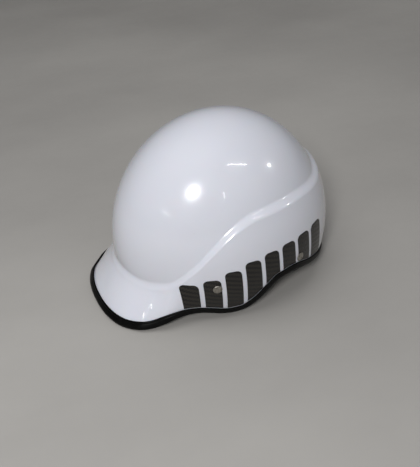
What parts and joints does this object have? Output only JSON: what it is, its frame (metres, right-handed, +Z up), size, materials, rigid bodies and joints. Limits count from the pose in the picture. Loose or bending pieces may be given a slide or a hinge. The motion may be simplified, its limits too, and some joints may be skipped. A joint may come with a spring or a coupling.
{
  "type": "water sports helmet",
  "caption": "Full-cut water helmet with a smooth dome, raised side band, short brim, rubber edge trim, foam liner, buckled chin straps and an occipital brace.",
  "frame": {"origin": "on the surface that the helmet stands on, under the middle of the dome, in the middle of the head opening", "axes": "+X to the wearer's left, +Y to the rear (the brim faces -Y), +Z up"},
  "size_m": [0.2056, 0.2795, 0.1896],
  "materials": {
    "shell_paint": "gloss",
    "trim_rubber": "satin",
    "carbon": "gloss",
    "black_plastic": "matte",
    "rivet_metal": "satin",
    "foam": "matte",
    "pad_fabric": "matte",
    "webbing": "matte"
  },
  "bodies": {
    "shell": {"outer_shell": "shell_paint", "edge_trim": "trim_rubber", "carbon_panels_left": "carbon", "carbon_panels_right": "carbon", "sub_shell": "black_plastic", "crown_pad": "foam", "front_pad": "foam", "rear_pad": "foam", "side_pad_left": "foam", "side_pad_right": "foam", "strap_hangers": "black_plastic", "anchor_rivets": "rivet_metal", "rivet_washers": "rivet_metal", "brace_screws": "rivet_metal"},
    "brace": {"occipital_brace": "black_plastic", "occipital_pad": "pad_fabric"},
    "harness_left": {"front_strap_left": "webbing", "rear_strap_left": "webbing", "strap_divider_left": "black_plastic", "ear_pad_left": "pad_fabric"},
    "harness_right": {"front_strap_right": "webbing", "rear_strap_right": "webbing", "strap_divider_right": "black_plastic", "ear_pad_right": "pad_fabric"},
    "chin_left": {"chin_strap_left": "webbing", "buckle_socket": "black_plastic"},
    "chin_right": {"chin_strap_right": "webbing", "buckle_plug": "black_plastic"},
    "keeper": {"strap_keeper": "trim_rubber"}
  },
  "joints": [
    {"name": "harness_left_swing", "type": "hinge", "parent": "shell", "child": "harness_left", "pos_m": [0.076, 0, 0.017], "axis": [0, -0.9944, -0.1058], "range_deg": [0, 78]},
    {"name": "harness_right_swing", "type": "hinge", "parent": "shell", "child": "harness_right", "pos_m": [-0.076, 0, 0.017], "axis": [0, 0.9944, 0.1058], "range_deg": [0, 78]},
    {"name": "chin_left_swing", "type": "hinge", "parent": "harness_left", "child": "chin_left", "pos_m": [0.027, 0.00126, 0.00513], "axis": [0, -0.9944, -0.1058], "range_deg": [0, 85]},
    {"name": "chin_right_swing", "type": "hinge", "parent": "harness_right", "child": "chin_right", "pos_m": [-0.027, 0.00126, 0.00513], "axis": [0, 0.9944, 0.1058], "range_deg": [0, 85]},
    {"name": "brace_tilt", "type": "hinge", "parent": "shell", "child": "brace", "pos_m": [0, 0.052, 0.038], "axis": [1, 0, 0], "range_deg": [-25, 5]},
    {"name": "keeper_slide", "type": "slide", "parent": "chin_right", "child": "keeper", "axis": [0.9716, 0.025, -0.2353], "range_m": [-0.0025, 0.003]}
  ]
}
